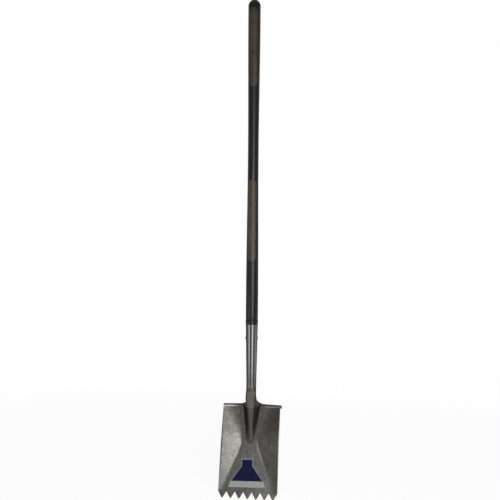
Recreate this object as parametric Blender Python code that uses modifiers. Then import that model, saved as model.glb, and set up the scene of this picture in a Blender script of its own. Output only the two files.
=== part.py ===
# Roofing spade: a toothed steel head riveted to a long, jacketed fibreglass handle

import math

import bmesh
import bpy
from mathutils import Matrix, Vector

# Metres. +Z runs up the handle and the front of the blade faces -Y. The origin is level
# with the tooth tips, under the middle of the tool's width and depth.

# Gap between pieces that touch, and the rear seam of the rolled socket
CLEARANCE = 0.0003
SEAM_GAP = 0.0012

# Blade: one sheet that leans forward from the step to the teeth
SHEET = 0.002
LIFT_ANGLE = math.radians(17.0)
BLADE_LENGTH = 0.276
BLADE_TOP_WIDTH = 0.180
BLADE_FOOT_WIDTH = 0.1825
TOOTH_COUNT = 7
TOOTH_DEPTH = 0.0190
TOOTH_TIP_WIDTH = 0.0035

# Raised middle of the blade: an hourglass with a dished panel on each side
WAIST_HEIGHT = 0.168
WAIST_HALF_WIDTH = 0.024
WAIST_ROUNDING = 0.003
LOWER_FLARE = 0.40
UPPER_FLARE = 0.36
FOLD_WIDTH = 0.009
FOLD_DEPTH = 0.0045
PANEL_RISE = 0.0070
PANEL_WIDTH_AT_WAIST = 0.057

# Frog: the hollow hump that carries the line of the socket down into the blade
STRIP_HALF_WIDTH_AT_STEP = 0.0098
STRIP_TAPER = 0.060
STRIP_LEAST_HALF_WIDTH = 0.003
FOOT_HALF_WIDTH_AT_STEP = 0.0265
FOOT_TAPER = 0.120
FOOT_LEAST_HALF_WIDTH = 0.0115
FLANK_MARGIN = 0.003
RIDGE_FADE = 0.0018
TOE_FADE_LENGTH = 0.024

# Foot step: the top edge, bent to the rear and turned down at the back
STEP_BEND_RADIUS = 0.005
STEP_DEPTH = 0.014
STEP_OVERHANG = 0.0025
STEP_DROOP = math.radians(2.2)
STEP_INNER_X = 0.037
LIP_RADIUS = 0.0045
LIP_DROP = 0.004

# Socket: a rolled cone above a neck, with the handle axis behind the tooth tips
AXIS_BEHIND_TIPS = 0.063
NECK_RADIUS = 0.0154
NECK_HEIGHT = 0.318
NECK_CHANNEL_HALF_WIDTH = 0.0168
NECK_CHANNEL_REAR = 0.024
CHANNEL_CORNER = 0.0055
SHOULDER_RISE = 0.0195
SHOULDER_SWEEP_ACROSS = 0.25
SHOULDER_SWEEP_BACK = 0.60
SHOULDER_SWEEP_UP = 0.22
SOCKET_RADIUS = 0.0190
SOCKET_TOP = 0.525
SOCKET_CURVE = 1.15

# Rivet
RIVET_BELOW_MOUTH = 0.043
RIVET_RADIUS = 0.0032
RIVET_HEAD_RADIUS = 0.0055
RIVET_HEAD_HEIGHT = 0.0016

# Handle
HANDLE_LENGTH = 1.016
JACKET_RADIUS_TOP = 0.0194
JACKET_RADIUS_WAIST = 0.0168
JACKET_RADIUS_BOTTOM = 0.0193
JACKET_WAIST_UP = 0.545
JACKET_TOP_STRAIGHT = 0.055
JACKET_BOTTOM_STRAIGHT = 0.105
JACKET_CHAMFER = 0.0012
CORE_RADIUS = 0.0120
CORE_BORE = 0.0085
CORE_DEPTH_IN_SOCKET = 0.190
NOSE_DEPTH_IN_SOCKET = 0.172
DOWEL_LENGTH = 0.220
COLLAR_HEIGHT = 0.0135
COLLAR_RADIUS = 0.0195
COLLAR_CHAMFER = 0.0010
CAP_DOME_HEIGHT = 0.0215
CAP_SKIRT = 0.0025
CAP_SPIGOT_LENGTH = 0.030

# Grip inlays, let into the jacket at the front and at the back
GRIP_HALF_WIDTH = 0.0130
GRIP_ARCH = 0.017
GRIP_THICKNESS = 0.0026
GRIP_PROUD = 0.0003
GRIP_LAYER_MARGIN = 0.005
UPPER_GRIP_BELOW_TOP = 0.030
UPPER_GRIP_LENGTH = 0.247
LOWER_GRIP_ABOVE_MOUTH = 0.194
LOWER_GRIP_LENGTH = 0.257

# Label film on the blade's flat middle
LABEL_THICKNESS = 0.0003
LABEL_CENTRE_X = -0.006
LABEL_BOTTOM = 0.031
LABEL_HEIGHT = 0.088
LABEL_NECK_LENGTH = 0.027
LABEL_NECK_HALF_WIDTH = 0.0168
LABEL_FOOT_HALF_WIDTH = 0.0580

# How finely the surfaces are divided
STRIP_COLUMNS = 2
WALL_COLUMNS = 9
SHOULDER_COLUMNS = 4
PLATEAU_COLUMNS = 3
FOLD_COLUMNS = 3
PANEL_COLUMNS = 3
BLADE_ROWS = 24
BEND_ROWS = 3
TREAD_ROWS = 2
LIP_ROWS = 3
NECK_ROWS = 4
SOCKET_ROWS = 8
TURNED_STEPS = 40
JACKET_STATIONS = 11
NOSE_STATIONS = 4
DOME_STEPS = 8
GRIP_STATIONS = 5
ARCH_STEPS = 8
PIN_SIDES = 20
RIVET_HEAD_STEPS = 4

WALL_START = STRIP_COLUMNS
WALL_END = WALL_START + WALL_COLUMNS
SHOULDER_END = WALL_END + SHOULDER_COLUMNS
PLATEAU_END = SHOULDER_END + PLATEAU_COLUMNS
FOLD_END = PLATEAU_END + FOLD_COLUMNS
EDGE = FOLD_END + PANEL_COLUMNS
SOCKET_SIDES = 2 * WALL_END

# Depths of the tooth tips and the handle axis, from the middle of the tool's depth
SHEET_FRONT = SHEET * math.cos(LIFT_ANGLE)
BEND_REAR = BLADE_LENGTH * math.sin(LIFT_ANGLE) + STEP_BEND_RADIUS * math.cos(LIFT_ANGLE) - SHEET_FRONT
TIPS_Y = (SHEET_FRONT - BEND_REAR - STEP_DEPTH - LIP_RADIUS) / 2
AXIS_Y = TIPS_Y + AXIS_BEHIND_TIPS

# Heights along the handle axis that several pieces share
HANDLE_TOP = SOCKET_TOP + HANDLE_LENGTH
CAP_SEAM = HANDLE_TOP - CAP_DOME_HEIGHT - CAP_SKIRT
JACKET_BOTTOM = SOCKET_TOP + COLLAR_HEIGHT + 2 * CLEARANCE
CORE_BOTTOM = SOCKET_TOP - CORE_DEPTH_IN_SOCKET
NOSE_BOTTOM = SOCKET_TOP - NOSE_DEPTH_IN_SOCKET
RIVET_HEIGHT = SOCKET_TOP - RIVET_BELOW_MOUTH
SLEEVE_BORE = CORE_RADIUS / math.cos(math.pi / TURNED_STEPS) + CLEARANCE


def lerp(a, b, t):
    return a + (b - a) * t


def clamp(value, low=0.0, high=1.0):
    return max(low, min(high, value))


def ease(t):
    t = clamp(t)
    return t * t * (3.0 - 2.0 * t)


# Blade surface: x across, s up the sheet from the tips, h out of its front

def blade_point(x, s, h):
    lean = LIFT_ANGLE
    y = TIPS_Y + s * math.sin(lean) - (h + SHEET) * math.cos(lean)
    z = s * math.cos(lean) + (h + SHEET) * math.sin(lean)
    return Vector((x, y, z))


def half_width(s):
    return lerp(BLADE_FOOT_WIDTH, BLADE_TOP_WIDTH, s / BLADE_LENGTH) / 2


def plateau_half_width(s):
    flare = UPPER_FLARE if s > WAIST_HEIGHT else LOWER_FLARE
    run = flare * (s - WAIST_HEIGHT)
    return WAIST_HALF_WIDTH + math.hypot(run, WAIST_ROUNDING) - WAIST_ROUNDING


def panel_share(s):
    width = half_width(s) - plateau_half_width(s) - FOLD_WIDTH
    return clamp(width / PANEL_WIDTH_AT_WAIST)


def front_line():
    return AXIS_Y - NECK_RADIUS


def ridge_height(s):
    behind = TIPS_Y + s * math.sin(LIFT_ANGLE) - front_line()
    straight = behind / math.cos(LIFT_ANGLE) - SHEET
    return (straight + math.hypot(straight, RIDGE_FADE)) / 2


def strip_half_width(s):
    return STRIP_HALF_WIDTH_AT_STEP - STRIP_TAPER * (BLADE_LENGTH - s)


def foot_half_width(s):
    return FOOT_HALF_WIDTH_AT_STEP - FOOT_TAPER * (BLADE_LENGTH - s)


def frog_fade(s):
    toe = (front_line() - TIPS_Y) / math.sin(LIFT_ANGLE)
    return ease((s - toe) / TOE_FADE_LENGTH + 0.5)


def blade_row(s):
    """Points of one half of a blade row, from the middle to the side edge."""
    ridge = ridge_height(s) * frog_fade(s)
    strip = max(strip_half_width(s), STRIP_LEAST_HALF_WIDTH)
    foot = max(foot_half_width(s), FOOT_LEAST_HALF_WIDTH)
    share = panel_share(s)
    inner = min(plateau_half_width(s) + FOLD_WIDTH, half_width(s) - FLANK_MARGIN)
    plateau = min(plateau_half_width(s), inner - FLANK_MARGIN)
    level = (s - WAIST_HEIGHT) / (BLADE_LENGTH - WAIST_HEIGHT)
    shoulder = lerp(WAIST_HALF_WIDTH - FLANK_MARGIN, STEP_INNER_X, max(level, 0.0))
    points = []
    for j in range(EDGE + 1):
        h = 0.0
        if j <= WALL_START:
            x = strip * j / WALL_START
            h = ridge
        elif j <= WALL_END:
            t = (j - WALL_START) / WALL_COLUMNS
            x = lerp(strip, foot, t)
            h = ridge * (1.0 - (t + ease(t)) / 2)
        elif j <= SHOULDER_END:
            x = lerp(foot, shoulder, (j - WALL_END) / SHOULDER_COLUMNS)
        elif j <= PLATEAU_END:
            x = lerp(shoulder, plateau, (j - SHOULDER_END) / PLATEAU_COLUMNS)
        elif j <= FOLD_END:
            t = (j - PLATEAU_END) / FOLD_COLUMNS
            x = lerp(plateau, inner, t)
            h = -FOLD_DEPTH * share * ease(t)
        else:
            t = (j - FOLD_END) / PANEL_COLUMNS
            x = lerp(inner, half_width(s), t)
            h = share * (PANEL_RISE * t - FOLD_DEPTH)
        points.append(blade_point(x, s, h))
    return points


# Foot step: the top row of the blade is carried round the bend and to the rear

def step_profile():
    """Offsets from the blade's top edge, in (y, z), along the bend and the tread."""
    turn = math.pi / 2 - LIFT_ANGLE
    start = Vector((-math.sin(turn), math.cos(turn)))
    offsets = []
    for k in range(1, BEND_ROWS + 1):
        a = turn * (1.0 - k / BEND_ROWS)
        offsets.append(STEP_BEND_RADIUS * (Vector((-math.sin(a), math.cos(a))) - start))
    for k in range(1, TREAD_ROWS + 1):
        offsets.append(offsets[BEND_ROWS - 1] + Vector((STEP_DEPTH * k / TREAD_ROWS, 0.0)))
    return offsets


def lip_profile():
    """Offsets from the tread's rear edge along the turned-down lip."""
    offsets = []
    for k in range(1, LIP_ROWS + 1):
        a = math.pi / 2 * k / LIP_ROWS
        offsets.append(LIP_RADIUS * Vector((math.sin(a), math.cos(a) - 1.0)))
    offsets.append(offsets[-1] + Vector((0.0, -LIP_DROP)))
    return offsets


def tread_point(base, offset, share, overhang):
    """A point of the step over a point of the blade's top row."""
    beyond = max(0.0, base.x - STEP_INNER_X)
    reach = half_width(BLADE_LENGTH) - STEP_INNER_X
    x = base.x + overhang * beyond / reach
    level = blade_point(0.0, BLADE_LENGTH, 0.0)
    y = lerp(base.y, level.y, share) + offset.x
    z = lerp(base.z, level.z, share) + offset.y - beyond * math.tan(STEP_DROOP) * share
    return Vector((x, y, z))


# Neck and socket

def socket_radius(z):
    t = clamp((z - NECK_HEIGHT) / (SOCKET_TOP - NECK_HEIGHT))
    return lerp(NECK_RADIUS, SOCKET_RADIUS, t ** SOCKET_CURVE)


def tube_point(j, z):
    radius = socket_radius(z)
    seam = math.pi - math.asin(SEAM_GAP / 2 / radius)
    a = seam * j / WALL_END
    return Vector((radius * math.sin(a), AXIS_Y - radius * math.cos(a), z))


def channel_point(j, front_z, rear_z):
    """The open channel just above the step: a flat front, round corners, straight sides."""
    strip = strip_half_width(BLADE_LENGTH)
    rear = AXIS_Y + NECK_CHANNEL_REAR
    if j <= WALL_START:
        return Vector((strip * j / WALL_START, front_line(), front_z))
    t = (j - WALL_START) / WALL_COLUMNS
    start = Vector((strip, front_line()))
    corner = Vector((NECK_CHANNEL_HALF_WIDTH, front_line()))
    side = corner + Vector((0.0, CHANNEL_CORNER / 2))
    end = Vector((NECK_CHANNEL_HALF_WIDTH, rear))
    bend = CHANNEL_CORNER / NECK_CHANNEL_REAR
    if t < bend:
        u = t / bend
        flat = start.lerp(corner, u).lerp(corner.lerp(side, u), u)
    else:
        flat = side.lerp(end, (t - bend) / (1.0 - bend))
    return Vector((flat.x, flat.y, lerp(front_z, rear_z, t)))


def shoulder_edge(top, bottom):
    """The free edge that sweeps from the neck's side out to the rear of the tread."""
    across = lerp(top.x, bottom.x, SHOULDER_SWEEP_ACROSS)
    back = lerp(top.y, bottom.y, SHOULDER_SWEEP_BACK)
    control = Vector((across, back, lerp(bottom.z, top.z, SHOULDER_SWEEP_UP)))
    points = []
    for k in range(1, SHOULDER_COLUMNS + 1):
        t = k / SHOULDER_COLUMNS
        points.append((1 - t) ** 2 * top + 2 * t * (1 - t) * control + t * t * bottom)
    return points


def patch(bottom, top, left, right):
    """Rows between four boundary curves, with the corners shared."""
    rows = []
    last_row = len(left) - 1
    last_column = len(bottom) - 1
    for i, (start, end) in enumerate(zip(left, right)):
        v = i / last_row
        row = []
        for j in range(last_column + 1):
            u = j / last_column
            ruled = bottom[j].lerp(top[j], v) + start.lerp(end, u)
            corners = bottom[0].lerp(top[0], v).lerp(bottom[-1].lerp(top[-1], v), u)
            row.append(ruled - corners)
        rows.append(row)
    return rows


def head_rows():
    """All half rows of the head, as lists of (column, point)."""
    rows = []
    for i in range(BLADE_ROWS + 1):
        s = BLADE_LENGTH * i / BLADE_ROWS
        rows.append(list(enumerate(blade_row(s))))
    top_row = blade_row(BLADE_LENGTH)

    offsets = step_profile()
    count = len(offsets)
    front_z = top_row[WALL_START].z
    channel_top = front_z + SHOULDER_RISE
    rear_top = top_row[WALL_END].z + SHOULDER_RISE
    upper = [channel_point(j, channel_top, rear_top) for j in range(WALL_END + 1)]
    tread_end = tread_point(top_row[SHOULDER_END], offsets[-1], 1.0, STEP_OVERHANG)
    upper_edge = upper[WALL_START:] + shoulder_edge(upper[-1], tread_end)
    left = [top_row[WALL_START]]
    right = [top_row[SHOULDER_END]]
    for k in range(1, count + 1):
        share = clamp(k / BEND_ROWS)
        left.append(top_row[WALL_START].lerp(upper[WALL_START], k / count))
        right.append(tread_point(top_row[SHOULDER_END], offsets[k - 1], share, STEP_OVERHANG))
    middle = patch(top_row[WALL_START:SHOULDER_END + 1], upper_edge, left, right)
    for k in range(1, count + 1):
        share = clamp(k / BEND_ROWS)
        row = [(j, top_row[j].lerp(upper[j], k / count)) for j in range(WALL_START)]
        row += [(WALL_START + j, point) for j, point in enumerate(middle[k])]
        for j in range(SHOULDER_END + 1, EDGE + 1):
            row.append((j, tread_point(top_row[j], offsets[k - 1], share, STEP_OVERHANG * share)))
        rows.append(row)
    tread_row = len(rows) - 1

    for offset in lip_profile():
        row = []
        for j in range(SHOULDER_END + 1, EDGE + 1):
            rear = dict(rows[tread_row])[j]
            row.append((j, rear + Vector((0.0, offset.x, offset.y))))
        rows.append(row)
    lip_end = len(rows) - 1

    tube_start = NECK_HEIGHT + SHOULDER_RISE
    for i in range(1, NECK_ROWS + 1):
        t = ease(i / NECK_ROWS)
        row = []
        for j in range(WALL_END + 1):
            channel = upper[j] + Vector((0.0, 0.0, (tube_start - upper[j].z) * i / NECK_ROWS))
            round_point = tube_point(j, channel.z)
            row.append((j, channel.lerp(round_point, t)))
        rows.append(row)
    for i in range(1, SOCKET_ROWS + 1):
        z = lerp(tube_start, SOCKET_TOP, i / SOCKET_ROWS)
        rows.append([(j, tube_point(j, z)) for j in range(WALL_END + 1)])
    neighbours = [(i, i + 1) for i in range(lip_end)]
    neighbours.append((tread_row, lip_end + 1))
    neighbours += [(i, i + 1) for i in range(lip_end + 1, len(rows) - 1)]
    return rows, neighbours


def sheet_mesh(name, rows, neighbours):
    """One open sheet, both halves, joined along the middle."""
    bm = bmesh.new()
    placed = {}
    for i, row in enumerate(rows):
        for j, point in row:
            placed[i, j] = bm.verts.new(point)
            placed[i, -j] = placed[i, j] if j == 0 else bm.verts.new((-point.x, point.y, point.z))
    for low, high in neighbours:
        for j in range(-EDGE, EDGE):
            corners = [(low, j), (low, j + 1), (high, j + 1), (high, j)]
            if all(corner in placed for corner in corners):
                bm.faces.new([placed[corner] for corner in corners])
    mesh = bpy.data.meshes.new(name)
    bm.to_mesh(mesh)
    bm.free()
    mesh.shade_smooth()
    return mesh


# Shared ways of making objects

def new_collection(name):
    collection = bpy.data.collections.new(name)
    bpy.context.scene.collection.children.link(collection)
    return collection


def material(name, colour, roughness, metallic=0.0):
    made = bpy.data.materials.new(name)
    made.use_nodes = True
    shader = made.node_tree.nodes["Principled BSDF"]
    shader.inputs["Base Color"].default_value = (*colour, 1.0)
    shader.inputs["Roughness"].default_value = roughness
    shader.inputs["Metallic"].default_value = metallic
    made.diffuse_color = (*colour, 1.0)
    return made


def place(name, mesh, collection, finish=None):
    made = bpy.data.objects.new(name, mesh)
    collection.objects.link(made)
    if finish:
        mesh.materials.append(finish)
    return made


def hide_cutter(cutter):
    cutter.hide_render = True
    cutter.display_type = "WIRE"
    return cutter


def turned(name, profile, collection, finish=None, closed=False, sides=TURNED_STEPS):
    """A profile of (radius, height) points, run down the outside, spun about Z."""
    mesh = bpy.data.meshes.new(name)
    vertices = [(radius, 0.0, height) for radius, height in profile]
    edges = [(i, i + 1) for i in range(len(profile) - 1)]
    if closed:
        edges.append((len(profile) - 1, 0))
    mesh.from_pydata(vertices, edges, [])
    made = place(name, mesh, collection, finish)
    screw = made.modifiers.new("Turn", "SCREW")
    screw.steps = sides
    screw.render_steps = sides
    screw.use_merge_vertices = True
    screw.merge_threshold = 0.00001
    screw.use_smooth_shade = True
    return made


def as_mesh(curve_object, collection):
    """The solid of a curve, with its caps welded on, in place of the curve."""
    bpy.context.view_layer.update()
    evaluated = curve_object.evaluated_get(bpy.context.evaluated_depsgraph_get())
    mesh = bpy.data.meshes.new_from_object(evaluated)
    bm = bmesh.new()
    bm.from_mesh(mesh)
    bmesh.ops.remove_doubles(bm, verts=bm.verts, dist=0.00001)
    bm.to_mesh(mesh)
    bm.free()
    name = curve_object.name
    matrix = curve_object.matrix_world.copy()
    bpy.data.objects.remove(curve_object)
    made = place(name, mesh, collection)
    made.matrix_world = matrix
    return made


def plate(name, outline, thickness, matrix, collection):
    """A flat outline in the matrix's own XY plane, thickened about that plane."""
    curve = bpy.data.curves.new(name, "CURVE")
    curve.dimensions = "2D"
    curve.fill_mode = "BOTH"
    curve.extrude = thickness / 2
    spline = curve.splines.new("POLY")
    spline.points.add(len(outline) - 1)
    for point, (x, y) in zip(spline.points, outline):
        point.co = (x, y, 0.0, 1.0)
    spline.use_cyclic_u = True
    made = place(name, curve, collection)
    made.matrix_world = matrix
    return as_mesh(made, collection)


def boolean(target, cutter, operation):
    modifier = target.modifiers.new(operation.capitalize(), "BOOLEAN")
    modifier.operation = operation
    modifier.object = cutter


def cross_pin(name, radius, length, height, collection):
    """A round bar across the handle axis, along X."""
    bpy.ops.mesh.primitive_cylinder_add(vertices=PIN_SIDES, radius=radius, depth=length)
    made = bpy.context.object
    made.name = name
    for owner in list(made.users_collection):
        owner.objects.unlink(made)
    collection.objects.link(made)
    made.location = (0.0, AXIS_Y, height)
    made.rotation_euler = (0.0, math.pi / 2, 0.0)
    return made


def on_axis(made):
    made.location = (0.0, AXIS_Y, 0.0)
    return made


def blade_plane(x, s, h):
    """A matrix whose X runs across the blade, Y up the sheet and Z out of its front."""
    matrix = Matrix.Rotation(math.pi / 2 - LIFT_ANGLE, 4, "X")
    matrix.translation = blade_point(x, s, h)
    return matrix


# Sub-parts

def jacket_radius(z):
    """Outer radius of the jacket: full at both ends, waisted between the grips."""
    waist = SOCKET_TOP + JACKET_WAIST_UP
    low = SOCKET_TOP + JACKET_BOTTOM_STRAIGHT
    high = HANDLE_TOP - JACKET_TOP_STRAIGHT
    if z < waist:
        return lerp(JACKET_RADIUS_WAIST, JACKET_RADIUS_BOTTOM, ease((waist - z) / (waist - low)))
    return lerp(JACKET_RADIUS_WAIST, JACKET_RADIUS_TOP, ease((z - waist) / (high - waist)))


def jacket_stations(low, high, count):
    return [lerp(high, low, i / count) for i in range(count + 1)]


def nose_radius(z):
    """The jacket's nose inside the socket, clear of the socket's flats."""
    inner = (socket_radius(z) - SHEET) * math.cos(math.pi / SOCKET_SIDES)
    return inner - CLEARANCE


def spade_head(parts, cutters, finish, rivet_hole):
    rows, neighbours = head_rows()
    head = place("spade_head", sheet_mesh("spade_head", rows, neighbours), parts, finish)
    solidify = head.modifiers.new("Sheet", "SOLIDIFY")
    solidify.thickness = SHEET
    solidify.offset = -1.0
    solidify.use_even_offset = True
    pitch = BLADE_FOOT_WIDTH / TOOTH_COUNT
    reach = pitch - TOOTH_TIP_WIDTH
    for i in range(TOOTH_COUNT + 1):
        middle = (i - TOOTH_COUNT / 2) * pitch
        notch = [(middle, TOOTH_DEPTH), (middle - reach, -TOOTH_DEPTH), (middle + reach, -TOOTH_DEPTH)]
        cutter = plate(f"notch_{i}", notch, 2 * TOOTH_DEPTH, blade_plane(0.0, 0.0, 0.0), cutters)
        boolean(head, hide_cutter(cutter), "DIFFERENCE")
    boolean(head, rivet_hole, "DIFFERENCE")
    return head


def socket_rivet(parts, finish):
    seat = socket_radius(RIVET_HEIGHT + RIVET_HEAD_RADIUS) + CLEARANCE
    dome = []
    for i in range(RIVET_HEAD_STEPS + 1):
        a = math.pi / 2 * i / RIVET_HEAD_STEPS
        dome.append((RIVET_HEAD_RADIUS * math.sin(a), seat + RIVET_HEAD_HEIGHT * math.cos(a)))
    half = dome + [(RIVET_RADIUS, seat)]
    profile = half + [(radius, -height) for radius, height in reversed(half)]
    rivet = turned("socket_rivet", profile, parts, finish, sides=PIN_SIDES)
    rivet.location = (0.0, AXIS_Y, RIVET_HEIGHT)
    rivet.rotation_euler = (0.0, math.pi / 2, 0.0)
    return rivet


def handle_core(parts, finish, rivet_hole):
    top = CAP_SEAM - CLEARANCE
    profile = [(CORE_RADIUS, top), (CORE_RADIUS, CORE_BOTTOM)]
    profile += [(CORE_BORE, CORE_BOTTOM), (CORE_BORE, top)]
    core = on_axis(turned("handle_core", profile, parts, finish, closed=True))
    boolean(core, rivet_hole, "DIFFERENCE")
    return core


def core_dowel(parts, finish, rivet_hole):
    radius = CORE_BORE * math.cos(math.pi / TURNED_STEPS) - CLEARANCE
    top = CORE_BOTTOM + DOWEL_LENGTH
    profile = [(0.0, top), (radius, top), (radius, CORE_BOTTOM), (0.0, CORE_BOTTOM)]
    dowel = on_axis(turned("core_dowel", profile, parts, finish))
    boolean(dowel, rivet_hole, "DIFFERENCE")
    return dowel


def handle_jacket(parts, finish, pockets, rivet_hole):
    top = CAP_SEAM - CLEARANCE
    heights = jacket_stations(JACKET_BOTTOM + JACKET_CHAMFER, top, JACKET_STATIONS)
    profile = [(jacket_radius(z), z) for z in heights]
    profile.append((jacket_radius(JACKET_BOTTOM) - JACKET_CHAMFER, JACKET_BOTTOM))
    shoulder = nose_radius(SOCKET_TOP)
    profile += [(shoulder, JACKET_BOTTOM), (shoulder, SOCKET_TOP)]
    for i in range(1, NOSE_STATIONS + 1):
        z = lerp(SOCKET_TOP, NOSE_BOTTOM, i / NOSE_STATIONS)
        profile.append((nose_radius(z), z))
    profile += [(SLEEVE_BORE, NOSE_BOTTOM), (SLEEVE_BORE, top)]
    jacket = on_axis(turned("handle_jacket", profile, parts, finish, closed=True))
    for pocket in pockets:
        boolean(jacket, pocket, "DIFFERENCE")
    boolean(jacket, rivet_hole, "DIFFERENCE")
    return jacket


def handle_collar(parts, finish):
    bottom = SOCKET_TOP + CLEARANCE
    top = bottom + COLLAR_HEIGHT
    bore = nose_radius(SOCKET_TOP) / math.cos(math.pi / TURNED_STEPS) + CLEARANCE
    profile = [(bore, top), (COLLAR_RADIUS - COLLAR_CHAMFER, top), (COLLAR_RADIUS, top - COLLAR_CHAMFER)]
    profile += [(COLLAR_RADIUS, bottom + COLLAR_CHAMFER), (COLLAR_RADIUS - COLLAR_CHAMFER, bottom)]
    profile.append((bore, bottom))
    return on_axis(turned("handle_collar", profile, parts, finish, closed=True))


def end_cap(parts, finish):
    radius = JACKET_RADIUS_TOP
    dome_base = CAP_SEAM + CAP_SKIRT
    spigot = CORE_BORE * math.cos(math.pi / TURNED_STEPS) - CLEARANCE
    profile = []
    for i in range(DOME_STEPS + 1):
        a = math.pi / 2 * i / DOME_STEPS
        profile.append((radius * math.sin(a), dome_base + CAP_DOME_HEIGHT * math.cos(a)))
    profile += [(radius, CAP_SEAM), (spigot, CAP_SEAM)]
    profile += [(spigot, CAP_SEAM - CAP_SPIGOT_LENGTH), (0.0, CAP_SEAM - CAP_SPIGOT_LENGTH)]
    return on_axis(turned("end_cap", profile, parts, finish))


def grip_outline(low, high, margin):
    """An arched strip on the handle, in (x, z), grown outwards by the margin."""
    half = GRIP_HALF_WIDTH + margin
    arch = GRIP_ARCH + margin
    outline = []
    for end, direction in ((high, 1.0), (low, -1.0)):
        spring = end - direction * GRIP_ARCH
        for i in range(ARCH_STEPS + 1):
            a = math.pi * i / ARCH_STEPS
            outline.append((direction * half * math.cos(a), spring + direction * arch * math.sin(a)))
    return outline


def grip_layer(name, low, high, outside, inside, collection, finish=None):
    """A ring of the jacket's outer layer that takes in the whole height of a grip."""
    heights = jacket_stations(low - GRIP_LAYER_MARGIN, high + GRIP_LAYER_MARGIN, GRIP_STATIONS)
    profile = [(jacket_radius(z) + outside, z) for z in heights]
    profile += [(jacket_radius(z) - inside, z) for z in reversed(heights)]
    return on_axis(turned(name, profile, collection, finish, closed=True))


def grip_window(name, low, high, margin, side, collection):
    """The grip's outline, thickened from the handle's axis out past its surface."""
    depth = 2 * JACKET_RADIUS_TOP
    matrix = Matrix.Rotation(math.pi / 2, 4, "X")
    matrix.translation = (0.0, AXIS_Y + side * depth / 2, 0.0)
    window = plate(name, grip_outline(low, high, margin), depth, matrix, collection)
    return hide_cutter(window)


def grip_inlay(name, low, high, side, parts, cutters, finish):
    inlay = grip_layer(name, low, high, GRIP_PROUD, GRIP_THICKNESS, parts, finish)
    boolean(inlay, grip_window(f"{name}_window", low, high, 0.0, side, cutters), "INTERSECT")
    outside = GRIP_PROUD + 2 * CLEARANCE
    pocket = grip_layer(f"{name}_pocket", low, high, outside, GRIP_THICKNESS + CLEARANCE, cutters)
    window = grip_window(f"{name}_pocket_window", low, high, CLEARANCE, side, cutters)
    boolean(pocket, window, "INTERSECT")
    return inlay, hide_cutter(pocket)


def blade_label(parts, finish):
    foot = LABEL_FOOT_HALF_WIDTH
    neck = LABEL_NECK_HALF_WIDTH
    waist = LABEL_HEIGHT - LABEL_NECK_LENGTH
    right = [(foot, 0.0), (neck, waist), (neck, LABEL_HEIGHT)]
    outline = right + [(-x, y) for x, y in reversed(right)]
    matrix = blade_plane(LABEL_CENTRE_X, LABEL_BOTTOM, CLEARANCE + LABEL_THICKNESS / 2)
    label = plate("blade_label", outline, LABEL_THICKNESS, matrix, parts)
    label.data.materials.append(finish)
    return label


def build():
    for old in list(bpy.data.objects):
        bpy.data.objects.remove(old)
    parts = new_collection("roofing_spade")
    cutters = new_collection("cutters")

    steel = material("bare_steel", (0.30, 0.29, 0.27), 0.38, 1.0)
    rivet_steel = material("rivet_steel", (0.35, 0.34, 0.33), 0.35, 1.0)
    jacket_black = material("jacket_black", (0.018, 0.018, 0.020), 0.45)
    cap_black = material("cap_black", (0.012, 0.012, 0.012), 0.55)
    grip_brown = material("grip_brown", (0.075, 0.050, 0.035), 0.70)
    fibreglass = material("fibreglass", (0.55, 0.50, 0.30), 0.50)
    ash = material("ash_wood", (0.55, 0.38, 0.20), 0.65)
    film = material("label_film", (0.020, 0.025, 0.120), 0.40)

    bore = RIVET_RADIUS + CLEARANCE
    rivet_hole = hide_cutter(cross_pin("rivet_hole", bore, 2 * BLADE_TOP_WIDTH, RIVET_HEIGHT, cutters))

    upper_high = HANDLE_TOP - UPPER_GRIP_BELOW_TOP
    upper_low = upper_high - UPPER_GRIP_LENGTH
    lower_low = SOCKET_TOP + LOWER_GRIP_ABOVE_MOUTH
    lower_high = lower_low + LOWER_GRIP_LENGTH
    pockets = []
    for level, low, high in (("upper", upper_low, upper_high), ("lower", lower_low, lower_high)):
        for face, side in (("front", -1.0), ("back", 1.0)):
            name = f"{level}_grip_{face}"
            pockets.append(grip_inlay(name, low, high, side, parts, cutters, grip_brown)[1])

    spade_head(parts, cutters, steel, rivet_hole)
    socket_rivet(parts, rivet_steel)
    handle_core(parts, fibreglass, rivet_hole)
    core_dowel(parts, ash, rivet_hole)
    handle_jacket(parts, jacket_black, pockets, rivet_hole)
    handle_collar(parts, cap_black)
    end_cap(parts, cap_black)
    blade_label(parts, film)


build()
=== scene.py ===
# Roofing spade: smooth surfaces, finishes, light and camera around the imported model
import math

import bpy
from mathutils import Matrix, Vector


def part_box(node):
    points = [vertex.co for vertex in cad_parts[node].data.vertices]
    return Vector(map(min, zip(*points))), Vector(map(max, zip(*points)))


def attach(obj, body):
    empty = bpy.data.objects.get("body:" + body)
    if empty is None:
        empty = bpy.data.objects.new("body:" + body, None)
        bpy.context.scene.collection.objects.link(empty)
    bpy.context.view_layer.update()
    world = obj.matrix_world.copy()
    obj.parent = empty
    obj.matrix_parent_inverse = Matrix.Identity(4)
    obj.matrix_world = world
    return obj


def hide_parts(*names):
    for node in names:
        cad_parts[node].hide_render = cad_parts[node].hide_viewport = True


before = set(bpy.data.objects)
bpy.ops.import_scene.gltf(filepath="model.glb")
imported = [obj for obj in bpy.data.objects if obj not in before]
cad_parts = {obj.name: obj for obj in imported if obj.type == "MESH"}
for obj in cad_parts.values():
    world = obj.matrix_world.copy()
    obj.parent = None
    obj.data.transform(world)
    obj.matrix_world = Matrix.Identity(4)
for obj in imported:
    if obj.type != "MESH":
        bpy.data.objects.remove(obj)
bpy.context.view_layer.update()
print("frame loaded with", len(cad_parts), "nodes")


def lerp(a, b, t):
    return a + (b - a) * t


def clamp(value, low=0.0, high=1.0):
    return max(low, min(high, value))


def ease(t):
    t = clamp(t)
    return t * t * (3.0 - 2.0 * t)


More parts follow.
